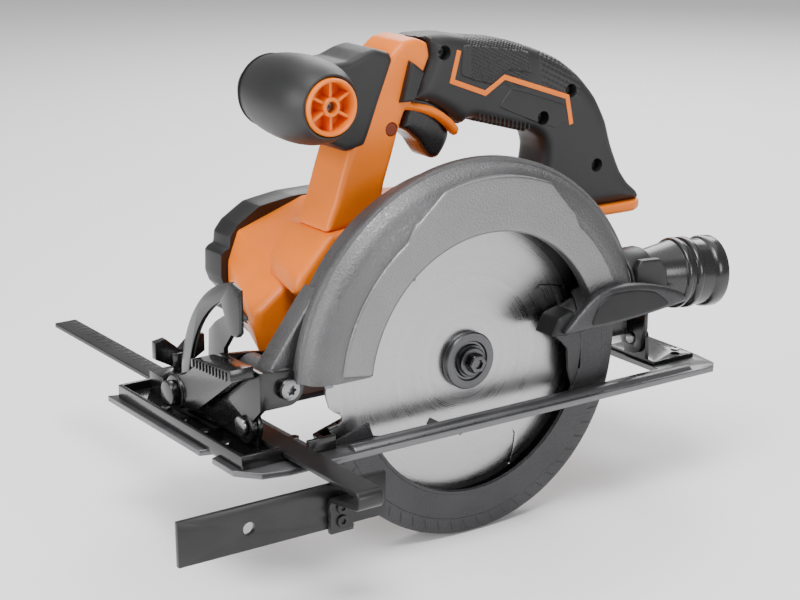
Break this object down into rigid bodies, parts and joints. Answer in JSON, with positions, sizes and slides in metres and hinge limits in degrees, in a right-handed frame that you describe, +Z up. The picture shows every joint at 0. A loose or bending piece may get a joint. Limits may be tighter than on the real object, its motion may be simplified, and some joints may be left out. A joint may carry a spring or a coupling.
{
  "type": "circular saw",
  "caption": "Cordless circular saw with a tilting, depth-adjustable sole, swinging lower guard, rip fence, dust nozzle and a round front grip.",
  "frame": {"origin": "point of the sole plane straight below the arbor, in the blade's plane: where the saw cuts", "axes": "+X to the rear of the saw, -Y to the blade side, +Z up from the work"},
  "size_m": [0.3483, 0.311, 0.2445],
  "materials": {
    "orange_plastic": "satin moulded ABS",
    "black_plastic": "fine-grained moulded nylon",
    "soft_grip": "soft overmould with a knurled grip zone",
    "cast_magnesium": "satin grey cast with a fine grain",
    "blade_steel": "circular ground finish",
    "black_steel": "glossy black coat",
    "sole_metal": "rolled plate, satin grey",
    "fence_metal": "dark grey paint",
    "guard_metal": "dark satin cast",
    "bright_steel": "zinc plated",
    "spring_steel": "oiled spring steel",
    "motor_core": "laminated core"
  },
  "bodies": {
    "shoe": {"sole_plate": "sole_metal", "front_channel": "black_steel", "fence_strap": "black_steel", "bevel_quadrant": "black_steel", "bevel_pins": "bright_steel", "rear_bracket": "black_steel", "sole_fasteners": "bright_steel"},
    "fence": {"fence_bar": "fence_metal", "fence_plate": "fence_metal", "fence_rivets": "bright_steel"},
    "fence_clamp": {"fence_screw": "black_steel"},
    "bevel_frame": {"front_yoke": "black_steel", "depth_bracket": "black_steel", "depth_pivot_bolt": "bright_steel", "bevel_lock_bolt": "black_steel", "frame_nuts": "bright_steel"},
    "bevel_clamp": {"bevel_lever": "black_steel"},
    "saw_head": {"upper_guard": "cast_magnesium", "guard_screws": "bright_steel", "gear_case": "cast_magnesium", "spindle_front_bearing": "bright_steel", "guard_retaining_ring": "spring_steel", "guard_spring": "spring_steel", "gear_cover": "cast_magnesium", "spindle_rear_bearing": "bright_steel", "stator": "motor_core", "motor_bearings": "bright_steel", "motor_housing": "orange_plastic", "motor_end_cap": "black_plastic", "control_board": "black_plastic", "housing_screws": "bright_steel", "handle_left": "soft_grip", "handle_right": "soft_grip", "handle_screws": "bright_steel", "battery_seat": "orange_plastic", "battery_terminals": "bright_steel", "switch_module": "black_plastic", "trigger_pin": "bright_steel", "auxiliary_grip": "soft_grip", "auxiliary_neck": "black_plastic", "grip_end_cap": "orange_plastic", "grip_screw": "bright_steel", "dust_nozzle": "black_plastic", "depth_lock_bolt": "bright_steel"},
    "depth_clamp": {"depth_lever": "black_steel"},
    "arbor": {"spindle": "bright_steel", "drive_gear": "bright_steel", "blade": "blade_steel", "inner_flange": "spring_steel", "outer_flange": "spring_steel", "blade_bolt": "bright_steel"},
    "rotor": {"pinion_shaft": "bright_steel", "rotor_core": "motor_core", "fan": "black_plastic"},
    "swing_guard": {"lower_guard": "guard_metal", "guard_lever": "guard_metal"},
    "trigger": {"trigger": "black_plastic"},
    "lock_off": {"lock_off_button": "black_plastic"},
    "spindle_lock": {"spindle_lock": "black_plastic"}
  },
  "joints": [
    {"name": "bevel_tilt", "type": "hinge", "parent": "shoe", "child": "bevel_frame", "pos_m": [-0.12, 0.011, 0.015], "axis": [1, 0, 0], "range_deg": [0, 50]},
    {"name": "depth_swing", "type": "hinge", "parent": "bevel_frame", "child": "saw_head", "pos_m": [-0.105, 0.0145, 0.0345], "axis": [0, -1, 0], "range_deg": [0, 31]},
    {"name": "blade_spin", "type": "hinge", "parent": "saw_head", "child": "arbor", "pos_m": [0, 0, 0.028], "axis": [0, 1, 0], "continuous": true},
    {"name": "motor_spin", "type": "hinge", "parent": "saw_head", "child": "rotor", "pos_m": [-0.02068, 0, 0.04535], "axis": [0, 1, 0], "continuous": true},
    {"name": "guard_swing", "type": "hinge", "parent": "saw_head", "child": "swing_guard", "pos_m": [0, 0, 0.028], "axis": [0, -1, 0], "range_deg": [0, 140], "stiffness_Nm_per_rad": 0.12, "springref_deg": -40.11},
    {"name": "trigger_pull", "type": "hinge", "parent": "saw_head", "child": "trigger", "pos_m": [-0.003, 0.04, 0.155], "axis": [0, -1, 0], "range_deg": [0, 8], "stiffness_Nm_per_rad": 0.6, "springref_deg": -17.19},
    {"name": "lock_off_press", "type": "slide", "parent": "saw_head", "child": "lock_off", "axis": [0, 1, 0], "range_m": [0, 0.002], "stiffness_N_per_m": 800, "springref_m": -0.004},
    {"name": "spindle_lock_press", "type": "slide", "parent": "saw_head", "child": "spindle_lock", "axis": [-1, 0, 0], "range_m": [0, 0.001], "stiffness_N_per_m": 600, "springref_m": -0.003},
    {"name": "depth_clamp_turn", "type": "hinge", "parent": "saw_head", "child": "depth_clamp", "pos_m": [0.045, 0.02, 0.0345], "axis": [0, -1, 0], "range_deg": [0, 60]},
    {"name": "bevel_clamp_turn", "type": "hinge", "parent": "bevel_frame", "child": "bevel_clamp", "pos_m": [-0.12, 0.06677, 0.01695], "axis": [-1, 0, 0], "range_deg": [0, 50]},
    {"name": "fence_slide", "type": "slide", "parent": "shoe", "child": "fence", "axis": [0, 1, 0], "range_m": [-0.12, 0.02]},
    {"name": "fence_clamp_turn", "type": "hinge", "parent": "shoe", "child": "fence_clamp", "pos_m": [-0.1065, 0.0995, 0.02], "axis": [0, 0, 1], "continuous": true}
  ],
  "couplings": [
    {"joint": "motor_spin", "follows": "blade_spin", "ratio": -4.4}
  ]
}
